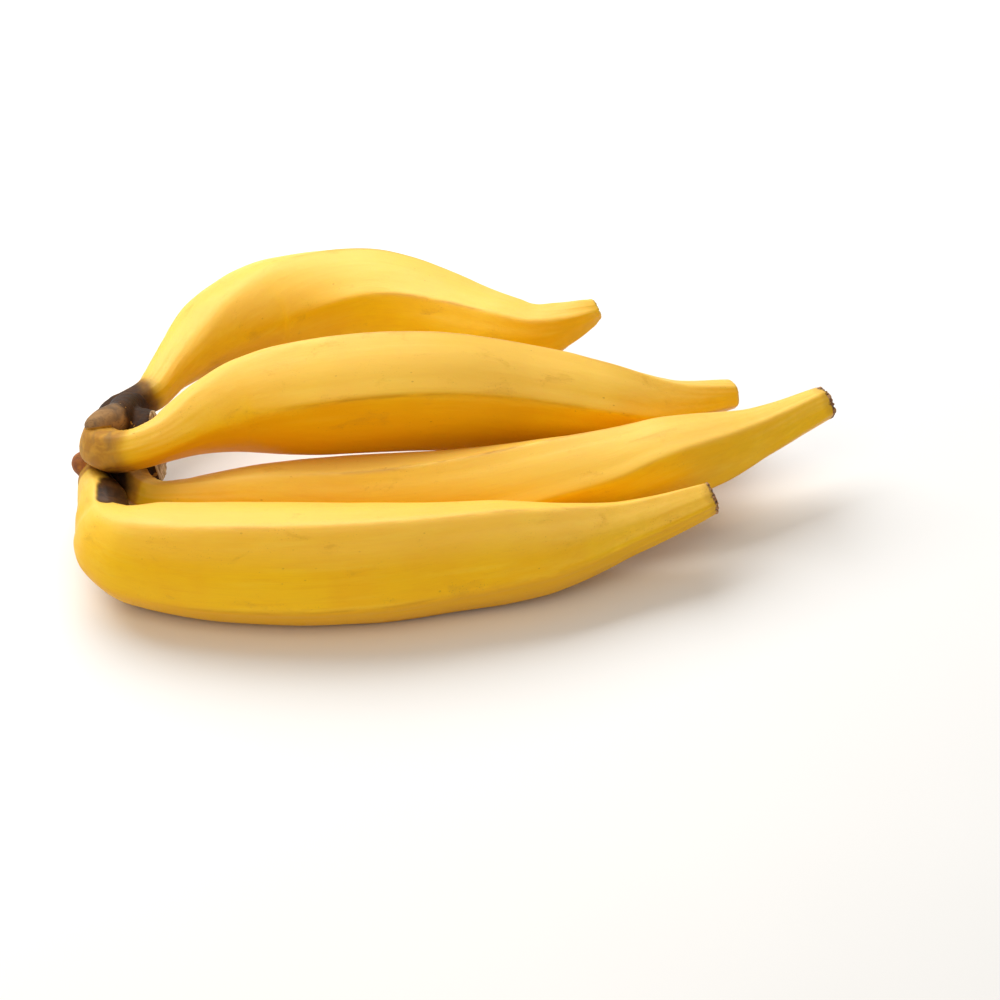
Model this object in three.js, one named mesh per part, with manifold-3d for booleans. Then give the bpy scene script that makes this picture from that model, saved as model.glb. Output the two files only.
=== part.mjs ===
// A hand of four plantain bananas lying on a table: four curved, ridged fruits
// on short bent stalks, grown together in one crown that was cut from the stem.
// Millimetres, +Z up, the table at z = 0, the fruits pointing along +X and the
// front fruit on the -Y side.
import * as THREE from "three";
import { mergeVertices } from "three/addons/utils/BufferGeometryUtils.js";
import Module from "manifold-3d";

// Driving dimensions.
const REACH = 276; // from the crown's centre to the tip of the longest fruit, along X
const FRUIT_THICKNESS = 46; // a full fruit, ridge to ridge
const STALK_THICKNESS = 14; // a fruit's stalk where it leaves the crown
const CROWN_THICKNESS = 29.5; // the crown across its cut face
const CROWN_LENGTH = 25; // the crown from its cut face to its rounded end
const COLLAR = 1.4; // how thick the crown's skin is round each stalk
const CLEARANCE = 0.4; // the gap between a stalk and its socket in the crown
const TIP_CHAMFER = 1.2; // the bevel round the dry end of each fruit

// How finely the surfaces are cut.
const RINGS_PER_STATION = 2;
const SIDES_PER_FACE = 4;
const COLLAR_STATIONS = 1.5; // how many stations of its stalk a collar covers
const CROWN_SIDES = 24;

// The crown's centre over the table: the fruits hold it up, so it follows their thickness.
const CROWN_HEIGHT = 0.56 * FRUIT_THICKNESS;

// The fruits. `ridges` are the angles of the five ridges round the middle of the
// fruit, in degrees: 0 looks to the front (-Y), 90 up, 180 to the back, 270 down.
// `twist` is how far the ridges have turned from those angles at the root, at each
// quarter of the fruit and at the tip.
// A stalk station is [x, y, z, thickness], in STALK_THICKNESSes from the crown's
// centre. A body station is [x, y, z, thickness]: x in REACHes and y in
// FRUIT_THICKNESSes from the crown's centre, z over the table and thickness in
// FRUIT_THICKNESSes.
const FRUITS = {
  banana_front: {
    ridges: [-10, 72, 150, 222, 290],
    twist: [-5, -2, -3, 10, 26],
    stalk: [
      [-0.64, -0.14, -0.48, 0.9],
      [-0.92, -0.66, -0.42, 0.92],
      [-0.86, -1.35, -0.34, 1.0],
      [-0.67, -2.05, -0.2, 1.24],
      [-0.46, -2.75, -0.07, 1.52],
    ],
    body: [
      [-0.016, -1.08, 0.52, 0.54],
      [0.0, -1.29, 0.51, 0.74],
      [0.031, -1.43, 0.5, 0.9],
      [0.078, -1.5, 0.495, 0.97],
      [0.14, -1.55, 0.49, 1.03],
      [0.26, -1.58, 0.49, 1.07],
      [0.37, -1.54, 0.485, 1.04],
      [0.46, -1.45, 0.48, 0.96],
      [0.53, -1.37, 0.47, 0.91],
      [0.59, -1.3, 0.46, 0.81],
      [0.65, -1.2, 0.47, 0.65],
      [0.7, -1.11, 0.5, 0.5],
      [0.76, -0.99, 0.55, 0.39],
      [0.826, -0.84, 0.62, 0.29],
    ],
  },
  banana_middle: {
    ridges: [38, 110, 180, 250, 322],
    twist: [-30, -30, -36, 5, 34],
    stalk: [
      [0.2, -0.6, -0.36, 1.0],
      [0.16, -1.1, -0.39, 1.06],
      [0.4, -1.65, -0.42, 1.12],
      [0.95, -2.02, -0.43, 1.14],
    ],
    body: [
      [0.085, -0.66, 0.46, 0.38],
      [0.13, -0.63, 0.44, 0.49],
      [0.19, -0.6, 0.42, 0.63],
      [0.25, -0.58, 0.39, 0.74],
      [0.32, -0.58, 0.375, 0.82],
      [0.4, -0.57, 0.385, 0.86],
      [0.5, -0.52, 0.4, 0.89],
      [0.6, -0.44, 0.43, 0.9],
      [0.7, -0.36, 0.49, 0.86],
      [0.77, -0.27, 0.58, 0.77],
      [0.84, -0.14, 0.62, 0.63],
      [0.895, 0.0, 0.66, 0.47],
      [0.95, 0.17, 0.715, 0.37],
      [1.0, 0.33, 0.775, 0.31],
    ],
  },
  banana_top: {
    ridges: [29, 103, 172, 238, 312],
    twist: [-28, -20, -2, -2, -40],
    stalk: [
      [-0.4, -0.14, 0.6, 1.05],
      [-0.66, -0.58, 0.66, 1.2],
      [-0.62, -1.12, 0.74, 1.3],
      [-0.25, -1.58, 0.88, 1.28],
      [0.4, -1.7, 1.06, 1.22],
    ],
    body: [
      [0.06, -0.43, 0.93, 0.42],
      [0.103, -0.24, 0.97, 0.6],
      [0.16, -0.07, 1.01, 0.83],
      [0.21, -0.01, 1.04, 0.95],
      [0.27, 0.04, 1.05, 1.02],
      [0.35, 0.12, 1.04, 1.05],
      [0.43, 0.22, 0.98, 1.04],
      [0.49, 0.31, 0.89, 1.01],
      [0.55, 0.4, 0.79, 0.96],
      [0.62, 0.45, 0.7, 0.9],
      [0.68, 0.47, 0.65, 0.79],
      [0.74, 0.52, 0.59, 0.64],
      [0.79, 0.59, 0.57, 0.47],
      [0.83, 0.67, 0.57, 0.35],
      [0.872, 0.76, 0.56, 0.28],
    ],
  },
  banana_back: {
    ridges: [50, 118, 186, 255, 335],
    twist: [-80, -66, -29, 14, -40],
    stalk: [
      [-0.6, 0.6, -0.08, 0.9],
      [-0.68, 0.97, 0.0, 0.95],
      [-0.54, 1.4, 0.08, 0.97],
      [-0.1, 1.8, 0.14, 1.0],
    ],
    body: [
      [0.019, 0.68, 0.61, 0.34],
      [0.039, 1.0, 0.61, 0.41],
      [0.062, 1.33, 0.59, 0.55],
      [0.09, 1.67, 0.56, 0.74],
      [0.128, 1.94, 0.53, 0.91],
      [0.175, 2.17, 0.49, 1.08],
      [0.25, 2.3, 0.48, 1.11],
      [0.34, 2.27, 0.48, 1.1],
      [0.42, 2.08, 0.48, 1.0],
      [0.485, 1.86, 0.5, 0.88],
      [0.54, 1.7, 0.56, 0.73],
      [0.585, 1.63, 0.62, 0.57],
      [0.625, 1.67, 0.7, 0.42],
      [0.655, 1.72, 0.77, 0.3],
      [0.675, 1.76, 0.82, 0.22],
    ],
  },
};

// How far a face between two ridges is flattened: 0 is round, 1 is flat.
const FACE_FLATNESS = 0.45;

// The crown's outline: how far along its length, and how thick in CROWN_THICKNESSes.
const CROWN_OUTLINE = [
  [0.5, 0.94],
  [0.3, 1.0],
  [0.0, 1.02],
  [-0.25, 1.0],
  [-0.42, 0.8],
  [-0.5, 0.45],
];

const wasm = await Module();
wasm.setup();

const radians = THREE.MathUtils.degToRad;

/** A smooth curve through points of any meaning. */
function smooth(points) {
  return new THREE.CatmullRomCurve3(points, false, "centripetal");
}

/** The centre line, the thickness and the twist of a fruit, all over the same 0 to 1. */
function fruitLines({ stalk, body, twist }) {
  const centres = [];
  const thicknesses = [];
  for (const [x, y, z, thickness] of stalk) {
    const [across, up] = [y * STALK_THICKNESS, z * STALK_THICKNESS + CROWN_HEIGHT];
    centres.push(new THREE.Vector3(x * STALK_THICKNESS, across, up));
    thicknesses.push(thickness * STALK_THICKNESS);
  }
  for (const [x, y, z, thickness] of body) {
    const [across, up] = [y * FRUIT_THICKNESS, z * FRUIT_THICKNESS];
    centres.push(new THREE.Vector3(x * REACH, across, up));
    thicknesses.push(thickness * FRUIT_THICKNESS);
  }
  const graph = (values) => smooth(values.map((value, i) => new THREE.Vector3(i, value, 0)));
  return {
    centre: smooth(centres),
    thickness: graph(thicknesses),
    twist: graph(twist.map(radians)),
    stations: centres.length,
  };
}

/** The angle and distance of each point round a ridged section, with the ridges at distance 1. */
function ridgedSection(ridges, flatness) {
  const section = [];
  ridges.forEach((start, i) => {
    const next = i + 1 < ridges.length ? ridges[i + 1] : ridges[0] + 360;
    const half = radians((next - start) / 2);
    for (let k = 0; k < SIDES_PER_FACE; k++) {
      const fromMiddle = half * ((2 * k) / SIDES_PER_FACE - 1);
      const flat = Math.cos(half) / Math.cos(fromMiddle);
      section.push({
        angle: radians(start) + half + fromMiddle,
        distance: 1 - flatness * (1 - flat),
      });
    }
  });
  return section;
}

/** Directions square to the centre line at each ring, carried along it without twisting. */
function carriedFrames(tangents) {
  const middle = Math.floor(tangents.length / 2);
  const ups = [];
  ups[middle] = new THREE.Vector3(0, 0, 1).projectOnPlane(tangents[middle]).normalize();
  const turn = new THREE.Quaternion();
  const carry = (from, to) => {
    turn.setFromUnitVectors(tangents[from], tangents[to]);
    ups[to] = ups[from].clone().applyQuaternion(turn);
  };
  for (let i = middle; i + 1 < tangents.length; i++) carry(i, i + 1);
  for (let i = middle; i > 0; i--) carry(i, i - 1);
  return tangents.map((tangent, i) => ({
    up: ups[i],
    front: tangent.clone().cross(ups[i]),
  }));
}

/** A closed mesh from rings of points, each end closed round its own centre point. */
function closedLoft(rings, startPole, endPole) {
  const sides = rings[0].length;
  const points = [startPole, ...rings.flat(), endPole];
  const end = points.length - 1;
  const at = (ring, side) => 1 + ring * sides + (side % sides);
  const faces = [];
  for (let side = 0; side < sides; side++) {
    faces.push(0, at(0, side), at(0, side + 1));
    faces.push(end, at(rings.length - 1, side + 1), at(rings.length - 1, side));
  }
  for (let ring = 0; ring + 1 < rings.length; ring++) {
    for (let side = 0; side < sides; side++) {
      const [a, b] = [at(ring, side), at(ring, side + 1)];
      const [c, d] = [at(ring + 1, side), at(ring + 1, side + 1)];
      faces.push(a, c, d, a, d, b);
    }
  }
  const geometry = new THREE.BufferGeometry();
  geometry.setFromPoints(points);
  geometry.setIndex(faces);
  return geometry;
}

/**
 * A fruit, or its first part up to `end`, with `grow` added all round it and
 * its far end bevelled by `bevel`.
 * Nothing of it goes below the table, so it rests on flat patches.
 */
function fruitGeometry(fruit, { grow = 0, end = 1, bevel = 0 } = {}) {
  const { centre, thickness, twist, stations } = fruitLines(fruit);
  const section = ridgedSection(fruit.ridges, FACE_FLATNESS);
  const count = Math.round((stations - 1) * RINGS_PER_STATION * end) + 1;
  const steps = Array.from({ length: count }, (_, i) => (end * i) / (count - 1));
  const tangents = steps.map((t) => centre.getTangent(t));
  const frames = carriedFrames(tangents);
  const onTable = (p) => p.setZ(Math.max(p.z, 0));
  const ringAt = (i, radius, shift) =>
    section.map(({ angle, distance }) => {
      const turned = angle + twist.getPoint(steps[i]).y;
      return onTable(
        centre
          .getPoint(steps[i])
          .addScaledVector(tangents[i], shift)
          .addScaledVector(frames[i].front, Math.cos(turned) * distance * radius)
          .addScaledVector(frames[i].up, Math.sin(turned) * distance * radius),
      );
    });
  const radiusAt = (i) => thickness.getPoint(steps[i]).y / 2 + grow;
  const rings = steps.map((_, i) => ringAt(i, radiusAt(i), 0));
  const last = count - 1;
  rings[0] = ringAt(0, radiusAt(0), -grow);
  rings[last] = ringAt(last, radiusAt(last), grow - bevel);
  if (bevel > 0) rings.push(ringAt(last, radiusAt(last) - bevel, grow));
  const pole = (i, shift) => centre.getPoint(steps[i]).addScaledVector(tangents[i], shift);
  return closedLoft(rings, pole(0, -grow), pole(last, grow));
}

/** The crown's stub of stem: round, with a flat cut face towards +X. */
function stubGeometry() {
  const outline = smooth(CROWN_OUTLINE.map(([x, r]) => new THREE.Vector3(x, r, 0)));
  const profile = outline.getPoints((CROWN_OUTLINE.length - 1) * RINGS_PER_STATION);
  const rings = profile.map(({ x, y }) =>
    Array.from({ length: CROWN_SIDES }, (_, i) => {
      const angle = (2 * Math.PI * i) / CROWN_SIDES;
      return new THREE.Vector3(
        x * CROWN_LENGTH,
        (Math.cos(angle) * y * CROWN_THICKNESS) / 2,
        (Math.sin(angle) * y * CROWN_THICKNESS) / 2 + CROWN_HEIGHT,
      );
    }),
  );
  const pole = (x) => new THREE.Vector3(x * CROWN_LENGTH, 0, CROWN_HEIGHT);
  return closedLoft(rings, pole(CROWN_OUTLINE[0][0]), pole(CROWN_OUTLINE.at(-1)[0]));
}

/** A geometry as a manifold-3d solid. */
function solidOf(geometry) {
  const merged = mergeVertices(geometry);
  return new wasm.Manifold(
    new wasm.Mesh({
      numProp: 3,
      vertProperties: merged.attributes.position.array,
      triVerts: new Uint32Array(merged.index.array),
    }),
  );
}

/** A manifold-3d solid as a geometry. */
function geometryOf(solid) {
  const { vertProperties, triVerts } = solid.getMesh();
  const geometry = new THREE.BufferGeometry();
  geometry.setAttribute("position", new THREE.BufferAttribute(vertProperties, 3));
  geometry.setIndex(new THREE.BufferAttribute(triVerts, 1));
  return geometry;
}

/** The crown: the stub and a collar round each stalk, less the stalks' sockets. */
function crownGeometry() {
  let crown = solidOf(stubGeometry());
  for (const fruit of Object.values(FRUITS)) {
    const end = COLLAR_STATIONS / (fruit.stalk.length + fruit.body.length - 1);
    crown = crown.add(solidOf(fruitGeometry(fruit, { grow: COLLAR, end })));
  }
  for (const fruit of Object.values(FRUITS)) {
    crown = crown.subtract(solidOf(fruitGeometry(fruit, { grow: CLEARANCE })));
  }
  return geometryOf(crown);
}

const peel = new THREE.MeshStandardMaterial({ color: 0xe9b52a, roughness: 0.5, metalness: 0 });
const cutStem = new THREE.MeshStandardMaterial({ color: 0x5a4632, roughness: 0.8, metalness: 0 });

/** A named mesh with its shading normals. */
function part(name, geometry, material) {
  geometry.computeVertexNormals();
  const mesh = new THREE.Mesh(geometry, material);
  mesh.name = name;
  return mesh;
}

const hand = new THREE.Group();
hand.add(part("crown", crownGeometry(), cutStem));
for (const [name, fruit] of Object.entries(FRUITS)) {
  hand.add(part(name, fruitGeometry(fruit, { bevel: TIP_CHAMFER }), peel));
}

// The part's origin is on the table, under the middle of the hand.
const box = new THREE.Box3().setFromObject(hand);
const middle = box.getCenter(new THREE.Vector3());
hand.position.set(-middle.x, -middle.y, -box.min.z);

const bananas = new THREE.Group();
bananas.add(hand);
export default bananas;
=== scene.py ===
"""The looks of a hand of four plantain bananas on a pale table.

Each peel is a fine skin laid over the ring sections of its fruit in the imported
model, with raised ridges, stalk wrinkles and a dry scar on its tip. The crown is
one gnarled piece of stem that grows over the roots of all four stalks and ends
in a pale, fibrous cut. Metres, +Z up, the table at z = 0.
"""
import math

import bmesh
import bpy
import numpy as np
from mathutils import Matrix, Vector
from mathutils.bvhtree import BVHTree


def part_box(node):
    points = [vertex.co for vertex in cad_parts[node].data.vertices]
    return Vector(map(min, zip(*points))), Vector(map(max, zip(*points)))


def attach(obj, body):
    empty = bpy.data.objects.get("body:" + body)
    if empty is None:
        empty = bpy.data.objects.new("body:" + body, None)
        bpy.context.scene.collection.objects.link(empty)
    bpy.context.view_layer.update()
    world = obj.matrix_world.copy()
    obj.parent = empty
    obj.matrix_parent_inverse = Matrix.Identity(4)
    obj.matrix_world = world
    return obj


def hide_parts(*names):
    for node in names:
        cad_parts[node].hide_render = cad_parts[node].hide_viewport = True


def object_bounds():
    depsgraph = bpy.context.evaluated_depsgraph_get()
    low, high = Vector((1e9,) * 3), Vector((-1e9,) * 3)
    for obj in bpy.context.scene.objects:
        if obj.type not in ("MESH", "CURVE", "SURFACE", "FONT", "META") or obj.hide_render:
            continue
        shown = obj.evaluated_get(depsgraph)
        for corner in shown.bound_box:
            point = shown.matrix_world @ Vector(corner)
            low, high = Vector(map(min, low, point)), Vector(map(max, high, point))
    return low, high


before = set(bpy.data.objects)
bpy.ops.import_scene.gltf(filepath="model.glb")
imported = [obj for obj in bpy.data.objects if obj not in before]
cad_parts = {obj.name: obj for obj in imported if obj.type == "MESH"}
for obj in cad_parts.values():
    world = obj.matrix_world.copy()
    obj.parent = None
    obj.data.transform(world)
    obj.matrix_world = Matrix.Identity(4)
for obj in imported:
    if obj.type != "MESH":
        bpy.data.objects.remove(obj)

CAD_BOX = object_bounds()
MM = 0.001

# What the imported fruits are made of: rings of RING_SIDES points, five ridges.
FRUITS = ("front", "middle", "top", "back")
RING_SIDES = 20
RIDGES = 5
WELD = 0.002 * MM

# How fine the peels and the crown are.
PEEL_STEP = 1.0 * MM
PEEL_SIDES = 160
CROWN_VOXEL = 0.55 * MM

# Where the random draws of each piece start.
CROWN_SEED = 700
PEEL_SEED = 100
SCAR_SEED = 500
SEED_STEP = 40  # from one fruit to the next

# The camera looks down at the hand on its table.
CAMERA_ELEVATION = math.radians(36.5)
CAMERA_DISTANCE = 1.2
CAMERA_LENS = 108
AIM = (0.5577, 0.4154, 0.0)  # where it looks, as shares of the object's box


# ---------------------------------------------------------------- numbers


def smoothstep(low, high, value):
    """0 below low, 1 above high and a smooth rise between them."""
    share = np.clip((value - low) / (high - low), 0.0, 1.0)
    return share * share * (3.0 - 2.0 * share)


def bell(value, width):
    """1 at zero, falling off over the width."""
    return np.exp(-((value / width) ** 2))


def value_noise(points, cell, seed):
    """Smooth random values from -1 to 1, that change over about one cell."""
    size = 48
    table = np.random.default_rng(seed).uniform(-1.0, 1.0, (size, size, size))
    scaled = points / cell
    corner = np.floor(scaled).astype(int)
    share = scaled - corner
    share = share * share * (3.0 - 2.0 * share)
    total = np.zeros(points.shape[:-1])
    for step in np.ndindex(2, 2, 2):
        near = np.where(np.array(step, bool), share, 1.0 - share)
        cells = (corner + step) % size
        total += near.prod(-1) * table[cells[..., 0], cells[..., 1], cells[..., 2]]
    return total


def curve_through(knots, values, where):
    """A smooth curve through values at the knots, read at each place in where."""
    slopes = np.gradient(values, knots, axis=0)
    index = np.clip(np.searchsorted(knots, where, side="right") - 1, 0, len(knots) - 2)
    span = knots[index + 1] - knots[index]
    shape = (-1,) + (1,) * (values.ndim - 1)
    t = ((where - knots[index]) / span).reshape(shape)
    span = span.reshape(shape)
    start, end = values[index], values[index + 1]
    leaving, arriving = slopes[index] * span, slopes[index + 1] * span
    return (
        (2 * t**3 - 3 * t**2 + 1) * start
        + (t**3 - 2 * t**2 + t) * leaving
        + (3 * t**2 - 2 * t**3) * end
        + (t**3 - t**2) * arriving
    )


def finer_loop(loops, factor):
    """Closed loops of points (rings x sides x 3) with factor times as many sides."""
    before, after = np.roll(loops, 1, axis=1), np.roll(loops, -1, axis=1)
    after_next = np.roll(loops, -2, axis=1)
    parts = []
    for t in np.arange(factor) / factor:
        parts.append(
            0.5
            * (
                2 * loops
                + (after - before) * t
                + (2 * before - 5 * loops + 4 * after - after_next) * t**2
                + (3 * loops - before - 3 * after + after_next) * t**3
            )
        )
    return np.stack(parts, axis=2).reshape(len(loops), -1, 3)


def unit(vectors):
    return vectors / np.maximum(np.linalg.norm(vectors, axis=-1, keepdims=True), 1e-12)


def grid_normals(grid):
    """The outward normals of rings of points."""
    along = np.gradient(grid, axis=0)
    around = np.roll(grid, -1, axis=1) - np.roll(grid, 1, axis=1)
    normals = unit(np.cross(around, along))
    outward = ((grid - grid.mean(1, keepdims=True)) * normals).sum()
    return normals if outward > 0 else -normals


# ---------------------------------------------------------------- meshes


def closed_grid(name, grid, attributes):
    """A closed mesh over rings of points, capped at both ends. attributes is
    {name: values}, one value or vector for each point of the grid."""
    rings, sides = grid.shape[:2]
    poles = [grid[0].mean(0), grid[-1].mean(0)]
    points = np.vstack([grid.reshape(-1, 3), poles])
    index = np.arange(rings * sides).reshape(rings, sides)
    turned = np.roll(index, -1, axis=1)
    quads = np.stack([index[:-1], turned[:-1], turned[1:], index[1:]], -1).reshape(-1, 4)
    first = [[rings * sides, turned[0, k], index[0, k]] for k in range(sides)]
    last = [[rings * sides + 1, index[-1, k], turned[-1, k]] for k in range(sides)]
    mesh = bpy.data.meshes.new(name)
    mesh.from_pydata(points.tolist(), [], quads.tolist() + first + last)
    for key, values in attributes.items():
        flat = values.reshape(rings * sides, -1)
        full = np.vstack([flat, flat[:1], flat[-1:]]).astype(np.float32)
        kind, field = ("FLOAT", "value") if full.shape[1] == 1 else ("FLOAT_VECTOR", "vector")
        mesh.attributes.new(key, kind, "POINT").data.foreach_set(field, full.ravel())
    return shown(name, facing_out(mesh))


def facing_out(mesh):
    """Turns the faces of a closed mesh outwards."""
    bm = bmesh.new()
    bm.from_mesh(mesh)
    bmesh.ops.recalc_face_normals(bm, faces=bm.faces)
    if bm.calc_volume(signed=True) < 0:
        bmesh.ops.reverse_faces(bm, faces=bm.faces)
    bm.to_mesh(mesh)
    bm.free()
    mesh.shade_smooth()
    return mesh


def shown(name, mesh):
    made = bpy.data.objects.new(name, mesh)
    bpy.context.scene.collection.objects.link(made)
    return made


def points_of(mesh):
    found = np.empty(len(mesh.vertices) * 3, np.float32)
    mesh.vertices.foreach_get("co", found)
    return found.reshape(-1, 3).astype(float)


def normals_of(mesh):
    found = np.empty(len(mesh.vertices) * 3, np.float32)
    mesh.vertex_normals.foreach_get("vector", found)
    return found.reshape(-1, 3).astype(float)


def tag(mesh, name, values):
    made = mesh.attributes.new(name, "FLOAT", "POINT")
    made.data.foreach_set("value", values.astype(np.float32))


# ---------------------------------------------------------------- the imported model


def middle_of(node):
    low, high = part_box(node)
    return (low + high) / 2


def welded(node):
    bm = bmesh.new()
    bm.from_mesh(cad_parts[node].data)
    bmesh.ops.remove_doubles(bm, verts=bm.verts, dist=WELD)
    return bm


def ring_grid(node):
    """The rings of a fruit from its root in the crown to its tip, as an array
    (rings x RING_SIDES x 3) in which a side keeps its place from ring to ring."""
    bm = welded(node)
    around = {v: [e.other_vert(v) for e in v.link_edges] for v in bm.verts}
    poles = [v for v in bm.verts if len(around[v]) == RING_SIDES]
    root = min(poles, key=lambda v: (v.co - middle_of("crown")).length)
    layer = [around[root][0]]
    inside = set(around[root])
    while len(layer) < RING_SIDES:
        layer.append(next(v for v in around[layer[-1]] if v in inside and v not in layer))
    done = {root}
    rings = []
    while len(layer) == RING_SIDES:
        rings.append([tuple(v.co) for v in layer])
        done.update(layer)
        layer = next_ring(layer, around, done)
    bm.free()
    return np.array(rings)


def next_ring(layer, around, done):
    """The ring beyond this one, each of its points opposite its own side."""
    options = []
    for step in (-1, 1):
        found = []
        for k, vertex in enumerate(layer):
            beside = layer[(k + step) % len(layer)]
            shared = [v for v in around[vertex] if v in around[beside] and v not in done]
            found += shared[:1]
        options.append(found if len(set(found)) == len(layer) else [])
    best, least = [], math.inf
    here = np.array([v.co for v in layer])
    for found in filter(None, options):
        there = np.array([v.co for v in found])
        turn = (here - here.mean(0)) - (there - there.mean(0))
        if (turn**2).sum() < least:
            best, least = found, (turn**2).sum()
    return best


def from_first_ridge(rings):
    """The same rings with side 0 on a ridge."""
    reach = np.linalg.norm(rings - rings.mean(1, keepdims=True), axis=2)
    middle = reach[len(rings) // 4 : 3 * len(rings) // 4].mean(0)
    step = RING_SIDES // RIDGES
    heights = [middle[offset::step].mean() for offset in range(step)]
    return np.roll(rings, -int(np.argmax(heights)), axis=1)


# ---------------------------------------------------------------- peels

# How far along its stalk each peel is stained by the crown, from its root.
STAIN_END = {"front": 17 * MM, "middle": 19 * MM, "top": 34 * MM, "back": 30 * MM}
# How far the end of each fruit bulges, and the share of it that the scar takes.
NOSES = {
    "front": (0.7 * MM, 0.90),
    "middle": (0.7 * MM, 0.90),
    "top": (2.4 * MM, 0.42),
    "back": (1.6 * MM, 0.70),
}
NOSE_RINGS = 7
# How widely the ridges are softened, in sides of the peel, and along what share.
SOFTENED = {"front": (3, 0.30), "middle": (3, 0.25), "top": (3, 0.30), "back": (6, 0.50)}
# The girth up to which a fruit is all stalk or neck, and from which it is full.
STALK_GIRTH, FULL_GIRTH = 55 * MM, 125 * MM
# How high or deep the details of the peel are, and how wide or how far apart.
RIDGE_HEIGHT, RIDGE_WIDTH = 0.34 * MM, 1.3 * MM
HOLLOW_DEPTH, HOLLOW_WIDTH, HOLLOW_PLACE = 0.14 * MM, 2.4 * MM, 4.2 * MM
STALK_FURROW, NECK_FURROW = 0.09, 0.07  # in millimetres
CREASE_DEPTH, CREASE_SPACING = 0.16 * MM, 0.42 * MM
RELIEF_LIMIT = 0.30 * MM
# Soft dents and finer grain: how deep, how far apart, and how drawn out.
DENTS = ((0.14 * MM, 19 * MM, 0.5), (0.05 * MM, 5.5 * MM, 0.4), (0.025 * MM, 1.3 * MM, 0.2))


def side_angles():
    """The angle of each side of a peel, round its axis."""
    return np.arange(PEEL_SIDES) / PEEL_SIDES * 2.0 * math.pi


def peel_parts(fruit):
    """The fine skin of a fruit before its wrinkles, and what its details follow:
    the distance along the fruit and from the nearest ridge, and the girth."""
    rings = from_first_ridge(ring_grid("banana_" + fruit))[:-1]
    centres = rings.mean(1)
    steps = np.linalg.norm(np.diff(centres, axis=0), axis=1)
    knots = np.concatenate([[0.0], np.cumsum(steps)])
    length = knots[-1]
    along = np.linspace(0.0, length, round(length / PEEL_STEP) + 1)
    skin = finer_loop(curve_through(knots, rings, along), PEEL_SIDES // RING_SIDES)
    skin, along = with_nose(fruit, skin, along)
    length = along[-1]
    sides = np.linalg.norm(skin - np.roll(skin, 1, axis=1), axis=2)
    girth = sides.sum(1)
    place = np.arange(PEEL_SIDES) / PEEL_SIDES
    face = (place * RIDGES + 0.5) % 1.0 - 0.5
    from_ridge = np.abs(face)[None, :] * girth[:, None] / RIDGES
    angle = 2.0 * math.pi * place
    radius = girth[:, None] / (2.0 * math.pi)
    straight = np.stack(
        [
            np.repeat(along[:, None], PEEL_SIDES, axis=1),
            radius * np.cos(angle)[None, :],
            radius * np.sin(angle)[None, :],
        ],
        -1,
    )
    return skin, straight, from_ridge, girth, length


def with_nose(fruit, skin, along):
    """The skin with its end rounded over, down to the edge of the flower's scar."""
    depth, hole = NOSES[fruit]
    edge = skin[-1]
    centre = edge.mean(0)
    ahead = unit(centre - skin[-6].mean(0))
    size = np.linalg.norm(edge - centre, axis=1).mean()
    turn = np.linspace(0.0, math.pi / 2.0, NOSE_RINGS + 1)[1:, None, None]
    share = hole + (1.0 - hole) * np.cos(turn)
    cap = centre + share * (edge - centre) + depth * np.sin(turn) * ahead
    arc = math.hypot(depth, (1.0 - hole) * size)
    further = along[-1] + arc * np.arange(1, NOSE_RINGS + 1) / NOSE_RINGS
    return np.concatenate([skin, cap]), np.concatenate([along, further])


def rounded(fruit, skin, share):
    """The skin with its ridges softened inwards over the root end."""
    sides, until = SOFTENED[fruit]
    reach = np.arange(-3 * sides, 3 * sides + 1)
    weights = bell(reach, 1.4 * sides)
    smooth = sum(w * np.roll(skin, k, axis=1) for w, k in zip(weights / weights.sum(), reach))
    normals = grid_normals(skin)
    inward = np.minimum(((smooth - skin) * normals).sum(-1), 0.0)
    inward *= 1.0 - smoothstep(until - 0.06, until + 0.10, share)
    return skin + inward[..., None] * normals


def bending(skin):
    """How tightly the fruit bends at each ring, and each point's side of the bend:
    1 on the inside and -1 on the outside."""
    centres = skin.mean(1)
    ahead = unit(np.gradient(centres, axis=0))
    turn = np.gradient(ahead, axis=0) / PEEL_STEP
    kernel = np.ones(9) / 9.0
    turn = np.stack([np.convolve(turn[:, axis], kernel, "same") for axis in range(3)], -1)
    outward = unit(skin - centres[:, None, :])
    side = (outward * unit(turn)[:, None, :]).sum(-1)
    return np.linalg.norm(turn, axis=1), side


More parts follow.
